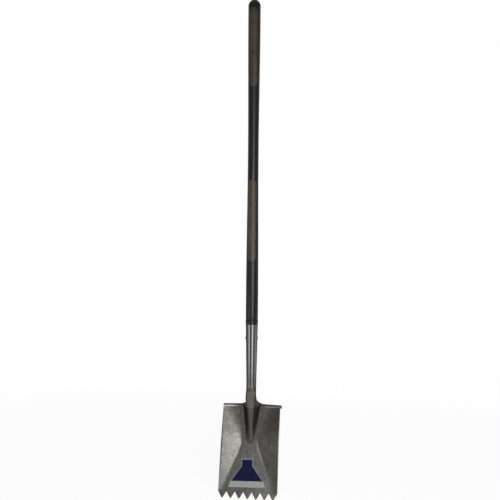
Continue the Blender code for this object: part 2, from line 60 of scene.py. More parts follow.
def quarterTurn(steps, first=1):
    # even angles up to a right angle, with 0 among them where first is 0
    return [math.pi / 2 * i / steps for i in range(first, steps + 1)]


# Head: one pressed sheet from the teeth to the mouth of the socket, in metres
head = {
    "sheet": 0.002,
    "lean": math.radians(17.0),
    "bladeLength": 0.2768,
    "topWidth": 0.180,
    "footWidth": 0.1825,
    "teeth": 7,
    "toothDepth": 0.019,
    "tipWidth": 0.0035,
    "toothBlend": 0.015,          # above the teeth, where their columns turn into the blade's
    "toothEdge": 0.12,            # of a tooth's width, left plain at each edge
    "waistHeight": 0.168,
    "waistHalf": 0.0158,
    "waistRounding": 0.008,
    "lowerFlare": 0.445,
    "upperFlare": 0.42,
    "foldWidth": 0.015,
    "foldSpread": 0.24,           # how fast the fold widens above the waist
    "foldDepth": 0.0007,
    "foldShare": 0.75,            # the part of the fold that drops before it rises
    "foldFadeStart": 0.160,
    "foldFade": 0.035,            # above the waist the fold is only a bend, without a drop
    "panelSlope": 0.123,
    "panelWidth": 0.057,
    "stripHalf": 0.0100,          # flat top of the frog, at the step
    "stripTaper": 0.072,
    "stripLeast": 0.0054,
    "wallRun": 0.0168,            # how far the frog's sides reach out beyond it, at the step
    "wallPower": 0.36,
    "margin": 0.003,
    "ridgeFade": 0.0002,
    "wallSoftness": 0.25,
    "bendRadius": 0.005,
    "stepDepth": 0.0137,
    "overhang": 0.0025,
    "droop": math.radians(2.2),
    "stepInner": 0.037,
    "lipRadius": 0.0045,
    "lipDrop": 0.0065,
    "neckRadius": 0.0154,
    "neckHeight": 0.318,
    "channelHalf": 0.0161,
    "channelRear": 0.024,
    "channelTaper": 0.0022,
    "channelCorner": 0.0055,
    "shoulderRise": 0.0195,
    "sweepAcross": 0.25,
    "sweepBack": 0.60,
    "sweepUp": 0.22,
    "socketRadius": 0.0190,
    "socketCurve": 1.15,
    "seamGap": 0.0012,
    "mouthRow": 0.0008,           # a last row close to the mouth keeps its light even
    "rimRounding": 0.0003,
    "rimAngle": math.radians(60),
    "rimSegments": 2,
}

# How many columns and rows the sheet is divided into
zones = {"strip": 4, "wall": 18, "shoulder": 8, "plateau": 11, "fold": 11, "panel": 11}
wallStart = zones["strip"]
wallEnd = wallStart + zones["wall"]
shoulderEnd = wallEnd + zones["shoulder"]
plateauEnd = shoulderEnd + zones["plateau"]
foldEnd = plateauEnd + zones["fold"]
edgeColumn = foldEnd + zones["panel"]
perTooth = 2 * edgeColumn // head["teeth"]
closeFrom, closeTo = 0.155, 0.185     # up the blade, where the rows stand closest
bladeRows = [(head["toothDepth"], closeFrom, 44), (closeFrom, closeTo, 30)]
bladeRows.append((closeTo, head["bladeLength"], 36))
toothRows = 6
bendRows = 9
treadRows = 6
lipRows = 8
lipDropRows = 2
neckRows = 16
socketRows = 24

headLow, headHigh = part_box("spade_head")
coreLow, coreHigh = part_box("handle_core")
tipsY = headLow.y + head["sheet"] * math.cos(head["lean"])
axisY = (coreLow.y + coreHigh.y) / 2
frontLine = axisY - head["neckRadius"]
socketTop = headHigh.z


def bladePoint(x, s, h):
    lean = head["lean"]
    out = h + head["sheet"]
    y = tipsY + s * math.sin(lean) - out * math.cos(lean)
    z = s * math.cos(lean) + out * math.sin(lean)
    return Vector((x, y, z))


def halfWidth(s):
    return lerp(head["footWidth"], head["topWidth"], s / head["bladeLength"]) / 2


def plateauHalf(s):
    above = s > head["waistHeight"]
    run = head["upperFlare" if above else "lowerFlare"] * (s - head["waistHeight"])
    return head["waistHalf"] + math.hypot(run, head["waistRounding"]) - head["waistRounding"]


def foldWidth(s):
    return head["foldWidth"] + head["foldSpread"] * max(s - head["waistHeight"], 0.0)


def innerHalf(s):
    return min(plateauHalf(s) + foldWidth(s), halfWidth(s) - head["margin"])


def foldDrop(s):
    width = halfWidth(s) - plateauHalf(s) - head["foldWidth"]
    fade = 1.0 - ease((s - head["foldFadeStart"]) / head["foldFade"])
    return head["foldDepth"] * clamp(width / head["panelWidth"]) * fade


def ridgeHeight(s):
    lean = head["lean"]
    behind = tipsY + s * math.sin(lean) - frontLine
    straight = behind / math.cos(lean) - head["sheet"]
    return (straight + math.hypot(straight, head["ridgeFade"])) / 2


def stripHalf(s):
    return max(head["stripHalf"] - head["stripTaper"] * (head["bladeLength"] - s), head["stripLeast"])


def footHalf(s):
    share = ridgeHeight(s) / ridgeHeight(head["bladeLength"])
    return stripHalf(s) + head["wallRun"] * share ** head["wallPower"]


def frogHeight(x, s):
    # the hollow hump: a flat strip that runs up to the socket, with a sloping side each way
    t = clamp((abs(x) - stripHalf(s)) / (footHalf(s) - stripHalf(s)))
    return ridgeHeight(s) * (1.0 - lerp(t, ease(t), head["wallSoftness"]))


def bladeHeight(x, s):
    x = abs(x)
    inner = innerHalf(s)
    plateau = min(plateauHalf(s), inner - head["margin"])
    height = frogHeight(x, s)
    if x > plateau:
        t = clamp((x - plateau) / (inner - plateau))
        rise = (inner - plateau) * t * t / 2 + max(x - inner, 0.0)
        u = clamp(t / head["foldShare"])
        height += head["panelSlope"] * rise - foldDrop(s) * u ** 3 * (4.0 - 3.0 * u)
    return height


def columnX(j, s):
    # j counts from the middle of the blade to its side edge
    strip, foot = stripHalf(s), footHalf(s)
    inner = innerHalf(s)
    plateau = min(plateauHalf(s), inner - head["margin"])
    level = max(s - head["waistHeight"], 0.0) / (head["bladeLength"] - head["waistHeight"])
    shoulder = lerp((foot + plateau) / 2, head["stepInner"], level)
    plateau = max(plateau, shoulder + head["margin"])
    inner = max(inner, plateau + head["margin"])
    stops = [(0, 0.0), (wallStart, strip), (wallEnd, foot), (shoulderEnd, shoulder)]
    stops += [(plateauEnd, plateau), (foldEnd, inner), (edgeColumn, halfWidth(s))]
    for (first, near), (last, far) in zip(stops, stops[1:]):
        if j <= last:
            return lerp(near, far, (j - first) / (last - first))
    return halfWidth(s)


def toothX(tooth, step, s):
    # the outer columns of a tooth stand further apart, which leaves room for a rounded edge
    pitch = head["footWidth"] / head["teeth"]
    share = step / perTooth
    if 0 < step < perTooth:
        share = lerp(head["toothEdge"], 1.0 - head["toothEdge"], (step - 1) / (perTooth - 2))
    width = lerp(head["tipWidth"], pitch, s / head["toothDepth"])
    return (tooth + 0.5 - head["teeth"] / 2) * pitch + width * (share - 0.5)


def footX(j):
    # where a column of the blade meets the line from which the teeth are cut
    column = j + edgeColumn
    tooth = min(column // perTooth, head["teeth"] - 1)
    return toothX(tooth, column - tooth * perTooth, head["toothDepth"])


def bladeRow(s):
    blend = ease((s - head["toothDepth"]) / head["toothBlend"])
    row = {}
    for j in range(edgeColumn + 1):
        x = lerp(footX(j), columnX(j, s), blend)
        x = min(x, halfWidth(s))
        row[j] = bladePoint(x, s, bladeHeight(x, s))
    return row


def stepOffsets():
    # (y, z) from the blade's top edge, along the bend and the tread
    turn = math.pi / 2 - head["lean"]
    start = Vector((-math.sin(turn), math.cos(turn)))
    offsets = []
    for k in range(1, bendRows + 1):
        a = turn * (1.0 - k / bendRows)
        offsets.append(head["bendRadius"] * (Vector((-math.sin(a), math.cos(a))) - start))
    for k in range(1, treadRows + 1):
        offsets.append(offsets[bendRows - 1] + Vector((head["stepDepth"] * k / treadRows, 0.0)))
    return offsets


def treadPoint(base, offset, share, overhang):
    beyond = max(0.0, base.x - head["stepInner"])
    reach = halfWidth(head["bladeLength"]) - head["stepInner"]
    level = bladePoint(0.0, head["bladeLength"], 0.0)
    x = base.x + overhang * beyond / reach
    y = lerp(base.y, level.y, share) + offset.x
    z = lerp(base.z, level.z, share) + offset.y - beyond * math.tan(head["droop"]) * share
    return Vector((x, y, z))


def socketRadius(z):
    t = clamp((z - head["neckHeight"]) / (socketTop - head["neckHeight"]))
    return lerp(head["neckRadius"], head["socketRadius"], t ** head["socketCurve"])


def tubePoint(j, z):
    radius = socketRadius(z)
    seam = math.pi - math.asin(head["seamGap"] / 2 / radius)
    a = seam * j / wallEnd
    return Vector((radius * math.sin(a), axisY - radius * math.cos(a), z))


def channelPoint(j, frontZ, rearZ):
    strip = stripHalf(head["bladeLength"])
    if j <= wallStart:
        return Vector((strip * j / wallStart, frontLine, frontZ))
    t = (j - wallStart) / zones["wall"]
    start = Vector((strip, frontLine))
    corner = Vector((head["channelHalf"], frontLine))
    side = corner + Vector((0.0, head["channelCorner"] / 2))
    end = Vector((head["channelHalf"] - head["channelTaper"], axisY + head["channelRear"]))
    bend = head["channelCorner"] / head["channelRear"]
    if t < bend:
        flat = start.lerp(corner, t / bend).lerp(corner.lerp(side, t / bend), t / bend)
    else:
        flat = side.lerp(end, (t - bend) / (1.0 - bend))
    return Vector((flat.x, flat.y, lerp(frontZ, rearZ, t)))


def shoulderSweep(top, bottom):
    across = lerp(top.x, bottom.x, head["sweepAcross"])
    back = lerp(top.y, bottom.y, head["sweepBack"])
    control = Vector((across, back, lerp(bottom.z, top.z, head["sweepUp"])))
    count = zones["shoulder"]
    sweep = []
    for t in [k / count for k in range(1, count + 1)]:
        sweep.append((1 - t) ** 2 * top + 2 * t * (1 - t) * control + t * t * bottom)
    return sweep


def patchRows(bottom, top, left, right):
    # a surface stretched between four edges that share their corners
    rows = []
    for i, (start, end) in enumerate(zip(left, right)):
        v = i / (len(left) - 1)
        row = []
        for j in range(len(bottom)):
            u = j / (len(bottom) - 1)
            ruled = bottom[j].lerp(top[j], v) + start.lerp(end, u)
            row.append(ruled - bottom[0].lerp(top[0], v).lerp(bottom[-1].lerp(top[-1], v), u))
        rows.append(row)
    return rows


def headRows():
    rows = []
    for low, high, count in bladeRows:
        first = 0 if not rows else 1
        rows += [bladeRow(lerp(low, high, i / count)) for i in range(first, count + 1)]
    topRow = rows[-1]

    offsets = stepOffsets()
    count = len(offsets)
    frontZ = topRow[wallStart].z + head["shoulderRise"]
    rearZ = topRow[wallEnd].z + head["shoulderRise"]
    upper = [channelPoint(j, frontZ, rearZ) for j in range(wallEnd + 1)]
    treadEnd = treadPoint(topRow[shoulderEnd], offsets[-1], 1.0, head["overhang"])
    upperEdge = upper[wallStart:] + shoulderSweep(upper[-1], treadEnd)
    left = [topRow[wallStart]]
    right = [topRow[shoulderEnd]]
    for k in range(1, count + 1):
        share = clamp(k / bendRows)
        left.append(topRow[wallStart].lerp(upper[wallStart], k / count))
        right.append(treadPoint(topRow[shoulderEnd], offsets[k - 1], share, head["overhang"]))
    lowerEdge = [topRow[j] for j in range(wallStart, shoulderEnd + 1)]
    middle = patchRows(lowerEdge, upperEdge, left, right)
    for k in range(1, count + 1):
        share = clamp(k / bendRows)
        row = {j: topRow[j].lerp(upper[j], k / count) for j in range(wallStart)}
        row.update({wallStart + j: point for j, point in enumerate(middle[k])})
        for j in range(shoulderEnd + 1, edgeColumn + 1):
            row[j] = treadPoint(topRow[j], offsets[k - 1], share, head["overhang"] * share)
        rows.append(row)
    treadRow = len(rows) - 1

    lip = []
    for a in quarterTurn(lipRows):
        lip.append((head["lipRadius"] * math.sin(a), head["lipRadius"] * (math.cos(a) - 1.0)))
    lipBack, lipDown = lip[-1]
    for k in range(1, lipDropRows + 1):
        lip.append((lipBack, lipDown - head["lipDrop"] * k / lipDropRows))
    for back, down in lip:
        outer = range(shoulderEnd + 1, edgeColumn + 1)
        rows.append({j: rows[treadRow][j] + Vector((0.0, back, down)) for j in outer})
    lipRow = len(rows) - 1

    tubeStart = head["neckHeight"] + head["shoulderRise"]
    for i in range(1, neckRows + 1):
        row = {}
        for j in range(wallEnd + 1):
            rise = (tubeStart - upper[j].z) * i / neckRows
            channel = upper[j] + Vector((0.0, 0.0, rise))
            row[j] = channel.lerp(tubePoint(j, channel.z), ease(i / neckRows))
        rows.append(row)
    lastRow = socketTop - head["mouthRow"]
    levels = [lerp(tubeStart, lastRow, i / socketRows) for i in range(1, socketRows + 1)]
    for z in levels + [socketTop]:
        rows.append({j: tubePoint(j, z) for j in range(wallEnd + 1)})
    links = [(i, i + 1) for i in range(lipRow)] + [(treadRow, lipRow + 1)]
    links += [(i, i + 1) for i in range(lipRow + 1, len(rows) - 1)]
    return rows, links


def sheetFaces(rows, links):
    points = []
    placed = {}

    def put(key, point):
        placed[key] = len(points)
        points.append(point)

    for i, row in enumerate(rows):
        for j, point in row.items():
            put((i, j), point)
            if j:
                put((i, -j), Vector((-point.x, point.y, point.z)))
    faces = []
    for low, high in links:
        for j in range(-edgeColumn, edgeColumn):
            corners = [(low, j), (low, j + 1), (high, j + 1), (high, j)]
            if all(corner in placed for corner in corners):
                faces.append([placed[corner] for corner in corners])

    for tooth in range(head["teeth"]):
        for i in range(toothRows):
            s = head["toothDepth"] * i / toothRows
            for step in range(perTooth + 1):
                put((tooth, i, step), bladePoint(toothX(tooth, step, s), s, 0.0))
        for step in range(perTooth + 1):
            placed[(tooth, toothRows, step)] = placed[(0, tooth * perTooth + step - edgeColumn)]
        for i in range(toothRows):
            for step in range(perTooth):
                corners = [(i, step), (i, step + 1), (i + 1, step + 1), (i + 1, step)]
                faces.append([placed[(tooth, *corner)] for corner in corners])
    return points, faces


# Making and placing a piece: every mesh is written where it stands

creaseAngle = math.radians(35)    # a settled mesh is crisp where it turns by more
clearance = 0.0003                # between neighbours


def addObject(name, points, faces):
    mesh = bpy.data.meshes.new(name)
    mesh.from_pydata(points, [], faces)
    made = bpy.data.objects.new(name, mesh)
    bpy.context.scene.collection.objects.link(made)
    return made


def makePiece(name, points, faces, node, slot):
    piece = addObject(name, points, faces)
    piece.data.validate()
    piece.data.shade_smooth()
    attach(piece, "root")
    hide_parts(node)
    return piece


def settle(piece):
    # turns a piece's modifiers into its mesh
    graph = bpy.context.evaluated_depsgraph_get()
    mesh = bpy.data.meshes.new_from_object(piece.evaluated_get(graph))
    piece.modifiers.clear()
    piece.data = mesh
    mesh.shade_smooth()
    mesh.set_sharp_from_angle(angle=creaseAngle)


def cutAway(name, points, faces, *pieces):
    # takes a closed shape out of each piece
    cutter = addObject(name, points, faces)
    for piece in pieces:
        cut = piece.modifiers.new(name, "BOOLEAN")
        cut.operation = "DIFFERENCE"
        cut.object = cutter
        settle(piece)
    bpy.data.objects.remove(cutter)


def slabFaces(rows, columns):
    # a thin slab: a grid of points for its outer side, one for its inner side, and the rim
    width = columns + 1
    shell = width * (rows + 1)
    faces = []
    for i in range(rows):
        for k in range(columns):
            a = i * width + k
            quad = [a, a + 1, a + width + 1, a + width]
            faces.append(quad)
            faces.append([shell + c for c in reversed(quad)])
    rim = [k for k in range(columns)]
    rim += [i * width + columns for i in range(rows)]
    rim += [rows * width + k for k in range(columns, 0, -1)]
    rim += [i * width for i in range(rows, 0, -1)]
    for a, b in zip(rim, rim[1:] + rim[:1]):
        faces.append([b, a, shell + a, shell + b])
    return faces


points, faces = sheetFaces(*headRows())
headPiece = makePiece("pressedHead", points, faces, "spade_head", "head_steel")
thickness = headPiece.modifiers.new("thickness", "SOLIDIFY")
thickness.thickness = head["sheet"]
thickness.offset = -1.0
rim = headPiece.modifiers.new("rim", "BEVEL")
rim.limit_method = "ANGLE"
rim.angle_limit = head["rimAngle"]
rim.width = head["rimRounding"]
rim.segments = head["rimSegments"]
rim.use_clamp_overlap = False
print("head:", len(points), "points,", len(faces), "faces")


# Turned pieces: a profile of (radius, height), run down the outside, spun about the handle's axis
turning = {"sides": 96, "edgeSteps": 4}


def turnedSkin(profile, closed, sides):
    points = []
    rings = []
    for radius, height in profile:
        count = sides if radius > 0 else 1
        rings.append(range(len(points), len(points) + count))
        for k in range(count):
            a = 2 * math.pi * k / sides
            points.append(Vector((radius * math.sin(a), axisY - radius * math.cos(a), height)))
    pairs = list(zip(rings, rings[1:]))
    if closed:
        pairs.append((rings[-1], rings[0]))
    faces = []
    for upper, lower in pairs:
        for k in range(sides):
            after = (k + 1) % sides
            corners = [upper[k % len(upper)], lower[k % len(lower)]]
            corners += [lower[after % len(lower)], upper[after % len(upper)]]
            faces.append([c for i, c in enumerate(corners) if c not in corners[:i]])
    return points, faces


def lowerEdge(radius, bottom, rounding):
    edge = []
    for a in quarterTurn(turning["edgeSteps"]):
        inward = rounding * (1.0 - math.cos(a))
        edge.append((radius - inward, bottom + rounding * (1.0 - math.sin(a))))
    return edge


# Handle jacket: full at both ends, waisted between the grips, with a nose inside the socket
jacket = {
    "topRadius": 0.0194,
    "waistRadius": 0.0168,
    "bottomRadius": 0.0193,
    "waistUp": 0.545,
    "topStraight": 0.055,
    "bottomStraight": 0.105,
    "edgeRounding": 0.0012,
    "stations": 72,
    "noseStations": 12,
}
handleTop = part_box("end_cap")[1].z
jacketLow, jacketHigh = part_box("handle_jacket")
collarLow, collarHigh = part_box("handle_collar")
coreRadius = (coreHigh.x - coreLow.x) / 2


def jacketRadius(z):
    waist = socketTop + jacket["waistUp"]
    low = socketTop + jacket["bottomStraight"]
    high = handleTop - jacket["topStraight"]
    if z < waist:
        return lerp(jacket["waistRadius"], jacket["bottomRadius"], ease((waist - z) / (waist - low)))
    return lerp(jacket["waistRadius"], jacket["topRadius"], ease((z - waist) / (high - waist)))


def noseRadius(z):
    return socketRadius(z) - head["sheet"] - clearance


jacketBottom = collarHigh.z + clearance
edgeTop = jacketBottom + jacket["edgeRounding"]
profile = []
for i in range(jacket["stations"] + 1):
    z = lerp(jacketHigh.z, edgeTop, i / jacket["stations"])
    profile.append((jacketRadius(z), z))
profile += lowerEdge(jacketRadius(edgeTop), jacketBottom, jacket["edgeRounding"])
profile.append((noseRadius(socketTop), jacketBottom))
for i in range(jacket["noseStations"] + 1):
    z = lerp(socketTop, jacketLow.z, i / jacket["noseStations"])
    profile.append((noseRadius(z), z))
profile += [(coreRadius + clearance, jacketLow.z), (coreRadius + clearance, jacketHigh.z)]
jacketPiece = makePiece("handleJacket", *turnedSkin(profile, True, turning["sides"]),
                        "handle_jacket", "jacket")


# Grip pads: arched at both ends, softly crowned, each let into a pocket of the jacket
grip = {
    "half": 0.0130,
    "arch": 0.017,
    "thickness": 0.0026,
    "crown": 0.00045,             # how far the middle stands proud of the jacket
    "edgeDip": 0.0004,            # how far the rim lies below it
    "rollWidth": 0.0022,
    "pocketRise": 0.001,          # how far the pocket's cutter stands out of the jacket
    "across": 28,
    "along": 150,
    "crowding": 0.75,             # of the stations towards the two arches
    "tipInset": 0.00002,          # so that an arch doesn't close to a single point
}


def padHalf(z, low, high, margin):
    # half the pad's width at a height, with an arch at each end
    arch = grip["arch"] + margin
    end = min(z - (low - margin), (high + margin) - z)
    rise = clamp((arch - end) / arch)
    return (grip["half"] + margin) * math.sqrt(max(1.0 - rise * rise, 0.0))


def padSkin(low, high, margin, side, outer, inner):
    points = []
    rows, columns = grip["along"], grip["across"]
    bottom = low - margin + grip["tipInset"]
    top = high + margin - grip["tipInset"]
    for depth in (outer, inner):
        for i in range(rows + 1):
            crowded = (1.0 - math.cos(math.pi * i / rows)) / 2
            z = lerp(bottom, top, lerp(i / rows, crowded, grip["crowding"]))
            half = padHalf(z, low, high, margin)
            for k in range(columns + 1):
                u = math.sin(math.pi / 2 * (2 * k / columns - 1))
                radius = jacketRadius(z) + depth(half * (1.0 - abs(u)))
                x = half * u
                y = axisY + side * math.sqrt(radius * radius - x * x)
                points.append(Vector((x, y, z)))
    faces = slabFaces(rows, columns)
    if side > 0:
        faces = [list(reversed(face)) for face in faces]
    return points, faces


def padSurface(inside):
    # height over the jacket, by the distance in from the pad's rim
    t = clamp(inside / grip["rollWidth"])
    return lerp(-grip["edgeDip"], grip["crown"], math.sqrt(t * (2.0 - t)))


def padFloor(inside):
    return -grip["thickness"]


def pocketTop(inside):
    return grip["pocketRise"]


def pocketFloor(inside):
    return -grip["thickness"] - clearance


padPieces = []
pocketPoints = []
pocketFaces = []
for level in ("upper", "lower"):
    for face, side in (("front", -1.0), ("back", 1.0)):
        node = f"{level}_grip_{face}"
        low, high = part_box(node)
        pad = padSkin(low.z, high.z, 0.0, side, padSurface, padFloor)
        padPieces.append(makePiece(f"{level}Grip{face.capitalize()}", *pad, node, "grip"))
        points, faces = padSkin(low.z, high.z, clearance, side, pocketTop, pocketFloor)
        first = len(pocketPoints)
        pocketPoints += points
        pocketFaces += [[first + c for c in corners] for corners in faces]
cutAway("padPockets", pocketPoints, pocketFaces, jacketPiece)
print("handle jacket and grip pads:", len(jacketPiece.data.polygons), "faces")


# End cap: a dome with a short skirt, and a spigot down the core
endCap = {
    "domeHeight": 0.0215,
    "domePower": 1.85,            # 2 is an ellipse, less is more pointed
    "skirt": 0.0025,
    "seamRounding": 0.0005,
    "spigotLength": 0.030,
    "spigotRadius": 0.0081,
    "steps": 28,
}
domeBase = handleTop - endCap["domeHeight"]
capSeam = domeBase - endCap["skirt"]
profile = [(0.0, handleTop)]
for a in quarterTurn(endCap["steps"]):
    power = 2 / endCap["domePower"]
    radius = jacket["topRadius"] * math.sin(a) ** power
    profile.append((radius, domeBase + endCap["domeHeight"] * math.cos(a) ** power))
profile += lowerEdge(jacket["topRadius"], capSeam, endCap["seamRounding"])
profile += [(endCap["spigotRadius"], capSeam), (endCap["spigotRadius"], capSeam - endCap["spigotLength"])]
profile.append((0.0, capSeam - endCap["spigotLength"]))
capPiece = makePiece("endCap", *turnedSkin(profile, False, turning["sides"]), "end_cap", "trim")
settle(capPiece)


# Collar between the jacket and the socket's mouth
collar = {"radius": 0.0195, "rounding": 0.0013, "edgeSteps": 5}
bore = noseRadius(socketTop) + clearance
profile = [(bore, collarHigh.z)]
for edge, sign in ((collarHigh.z, -1.0), (collarLow.z, 1.0)):
    arc = []
    for a in quarterTurn(collar["edgeSteps"], 0):
        inward = collar["rounding"] * (1.0 - math.sin(a))
        arc.append((collar["radius"] - inward, edge + sign * collar["rounding"] * (1.0 - math.cos(a))))
    profile += arc if sign < 0 else list(reversed(arc))
profile.append((bore, collarLow.z))
collarPiece = makePiece("mouthCollar", *turnedSkin(profile, True, turning["sides"]),
                        "handle_collar", "trim")
settle(collarPiece)


# Rivet across the socket, with a low domed head at each side
rivet = {
    "belowMouth": 0.043,
    "shankRadius": 0.0032,
    "headRadius": 0.0055,
    "headHeight": 0.0012,
    "domeSteps": 10,
    "sides": 48,
}
rivetHeight = socketTop - rivet["belowMouth"]
seat = socketRadius(rivetHeight + rivet["headRadius"]) + clearance
half = []
for a in quarterTurn(rivet["domeSteps"], 0):
    half.append((rivet["headRadius"] * math.sin(a), seat + rivet["headHeight"] * math.cos(a)))
half.append((rivet["shankRadius"], seat))
profile = half + [(radius, -height) for radius, height in reversed(half)]


def layAcross(points, height):
    # lays points made about the handle's axis along X at a height; this mirrors them, so the
    # faces made for them look inwards
    return [Vector((p.z, axisY + p.x, height + axisY - p.y)) for p in points]


points, faces = turnedSkin(profile, False, rivet["sides"])
rivetPiece = makePiece("socketRivet", layAcross(points, rivetHeight), faces,
                       "socket_rivet", "rivet_steel")
settle(rivetPiece)
holeRadius = rivet["shankRadius"] + clearance
pin = [(0.0, headHigh.x), (holeRadius, headHigh.x), (holeRadius, -headHigh.x), (0.0, -headHigh.x)]
points, faces = turnedSkin(pin, False, rivet["sides"])
# The mirrored pin opens no hole: the rivet's shank stands in the sheet and in the jacket's nose
cutAway("rivetHole", layAcross(points, rivetHeight), faces, headPiece, jacketPiece)
print("head and fittings:", len(headPiece.data.polygons), "faces")


# Label film on the flat middle of the blade: a neck, a flare and a foot, stuck on a little askew
label = {
    "centreX": -0.0048,
    "bottom": 0.033,
    "height": 0.086,
    "turn": math.radians(1.7),
    "bandHeight": 0.018,
    "neckLength": 0.024,
    "neckHalf": 0.0190,
    "kneeHalf": 0.0515,           # at the top of the foot band
    "footHalf": 0.0566,
    "borderWidth": 0.0032,
    "topBorder": 0.0050,
    "corner": 0.0014,
    "film": 0.0003,
    "rows": 44,
    "columns": 28,
    "blue": (0.0018, 0.0030, 0.0185),
    "border": (0.100, 0.100, 0.118),
    "foot": (0.165, 0.180, 0.175),
    "rubbed": (0.06, 0.06, 0.065),
    "printEdge": 0.0002,          # half the width over which one ink turns into the next
    "wear": (160.0, 4.0, 0.65),   # scale, detail and roughness of its noise
    "wearRange": (0.52, 0.75),
    "wearShare": 0.22,
    "bump": (0.15, 0.0002),       # strength and depth
}
labelMiddle = label["bottom"] + label["height"] / 2
flareTop = label["height"] - label["neckLength"]
flareHeight = flareTop - label["bandHeight"]
labelCos, labelSin = math.cos(label["turn"]), math.sin(label["turn"])


def labelHalf(up):
    half = lerp(label["neckHalf"], label["kneeHalf"], clamp((flareTop - up) / flareHeight))
    half = lerp(half, label["footHalf"], clamp(1.0 - up / label["bandHeight"]))
    end = min(up, label["height"] - up)
    rise = clamp((label["corner"] - end) / label["corner"])
    return half - label["corner"] * (1.0 - math.sqrt(max(1.0 - rise * rise, 0.0)))


levels = [label["height"] * (0.5 - 0.5 * math.cos(a)) for a in
          (math.pi * i / label["rows"] for i in range(label["rows"] + 1))]
levels = sorted(levels + [label["bandHeight"], flareTop])
points = []
for h in (clearance + label["film"], clearance):
    for level in levels:
        v = level - label["height"] / 2
        for k in range(label["columns"] + 1):
            u = labelHalf(level) * (2 * k / label["columns"] - 1)
            x = label["centreX"] + u * labelCos - v * labelSin
            points.append(bladePoint(x, labelMiddle + u * labelSin + v * labelCos, h))
faces = slabFaces(len(levels) - 1, label["columns"])
labelPiece = makePiece("bladeLabel", points, faces, "blade_label", "label")
settle(labelPiece)
print("label:", len(faces), "faces")


# Shader helpers: a wire is a socket that reads as a number in Python expressions

class Wire:
    def __init__(self, graph, socket):
        self.graph = graph
        self.socket = socket

    def math(self, operation, *values):
        return self.graph.node("ShaderNodeMath", {"operation": operation}, dict(enumerate(values)))

    def __add__(self, other):
        return self.math("ADD", self, other)

    def __radd__(self, other):
        return self.math("ADD", other, self)

    def __sub__(self, other):
        return self.math("SUBTRACT", self, other)

    def __rsub__(self, other):
        return self.math("SUBTRACT", other, self)

    def __mul__(self, other):
        return self.math("MULTIPLY", self, other)

    def __rmul__(self, other):
        return self.math("MULTIPLY", other, self)

    def __truediv__(self, other):
        return self.math("DIVIDE", self, other)

    def __rtruediv__(self, other):
        return self.math("DIVIDE", other, self)

    def __pow__(self, other):
        return self.math("POWER", self, other)

    def __rpow__(self, other):
        return self.math("POWER", other, self)

    def __abs__(self):
        return self.math("ABSOLUTE", self)

    def atLeast(self, low):
        return self.math("MAXIMUM", self, low)

    def swing(self, amount):
        # a noise turned into a change up and down, by half the amount each way
        return (self - 0.5) * amount

    def over(self, low, high):
        # 0 below low, 1 above high, smooth between them; low may be the greater one
        settings = {"interpolation_type": "SMOOTHSTEP"}
        values = {"Value": self, "From Min": low, "From Max": high}
        return self.graph.node("ShaderNodeMapRange", settings, values)


class Graph:
    def __init__(self, tree):
        self.tree = tree

    def node(self, kind, settings=None, inputs=None, output=0):
        made = self.tree.nodes.new(kind)
        for key, value in (settings or {}).items():
            setattr(made, key, value)
        for key, value in (inputs or {}).items():
            self.feed(made.inputs[key], value)
        return made if output is None else Wire(self, made.outputs[output])

    def feed(self, socket, value):
        if isinstance(value, Wire):
            self.tree.links.new(value.socket, socket)
        elif socket.type == "RGBA":
            socket.default_value = (*value, 1.0)
        else:
            socket.default_value = value


class Finish(Graph):
    def __init__(self, name, constants):
        self.material = bpy.data.materials.new(name)
        self.material.use_nodes = True
        super().__init__(self.material.node_tree)
        self.shader = self.tree.nodes["Principled BSDF"]
        for socket, value in constants.items():
            self.set(socket, value)
        self.place = self.node("ShaderNodeTexCoord", output="Object")
        split = self.node("ShaderNodeSeparateXYZ", inputs={0: self.place}, output=None)
        self.x, self.y, self.z = (Wire(self, split.outputs[i]) for i in range(3))

    def set(self, socket, value):
        self.feed(self.shader.inputs[socket], value)

    def mix(self, factor, first, second):
        return self.node("ShaderNodeMix", {"data_type": "RGBA"}, {0: factor, 6: first, 7: second}, 2)

    def scaled(self, stretch):
        return self.node("ShaderNodeVectorMath", {"operation": "MULTIPLY"}, {0: self.place, 1: stretch})

    def noise(self, scale, detail, roughness, stretch=(1.0, 1.0, 1.0), distortion=0.0):
        values = {"Vector": self.scaled(stretch), "Scale": scale, "Detail": detail}
        values.update({"Roughness": roughness, "Distortion": distortion})
        return self.node("ShaderNodeTexNoise", inputs=values)

    def mottle(self, look):
        # two tones and a gloss that follow one noise
        grain = self.noise(*look["grain"])
        self.set("Base Color", self.mix(grain.over(*look["range"]), look["dark"], look["light"]))
        self.set("Roughness", look["roughness"] + grain.swing(look["glossSwing"]))
        return grain

    def bump(self, height, strength, distance):
        values = {"Height": height, "Strength": strength, "Distance": distance}
        self.set("Normal", self.node("ShaderNodeBump", inputs=values))

    def dress(self, *pieces):
        for piece in pieces:
            piece.data.materials.clear()
            piece.data.materials.append(self.material)


def covered(wires, limits):
    # 1 where every wire is past its second limit, 0 where one is short of its first
    mask = 1.0
    for name, start, full in limits:
        mask = wires[name].over(start, full) * mask
    return mask


